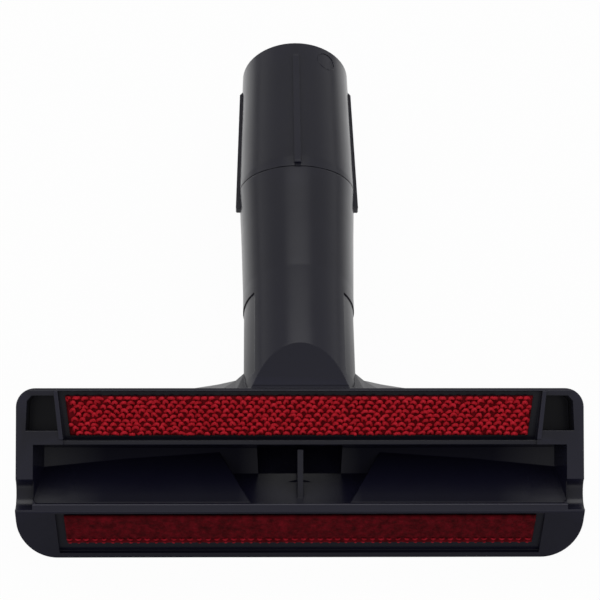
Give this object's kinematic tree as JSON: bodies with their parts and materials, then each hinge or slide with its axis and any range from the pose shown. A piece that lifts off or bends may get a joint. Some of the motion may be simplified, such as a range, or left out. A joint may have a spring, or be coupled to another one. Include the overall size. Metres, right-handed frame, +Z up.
{
  "type": "vacuum upholstery nozzle",
  "caption": "Wide upholstery nozzle: a flat moulded head with a slot mouth and two red lint strips, on a slanted ribbed tube with a round socket for a wand.",
  "frame": {"origin": "centre of the bounding box on the floor that the nozzle lies on, back down and working face up", "axes": "+X along the head, +Y from the head towards the open end of the tube, +Z up"},
  "size_m": [0.19, 0.1956, 0.0513],
  "materials": {
    "moulded_plastic": "satin black moulding",
    "rear_fabric": "bright red knitted loops",
    "front_fabric": "red short pile"
  },
  "bodies": {
    "root": {"nozzle_body": "moulded_plastic", "rear_lint_strip": "rear_fabric", "front_lint_strip": "front_fabric"}
  },
  "joints": []
}
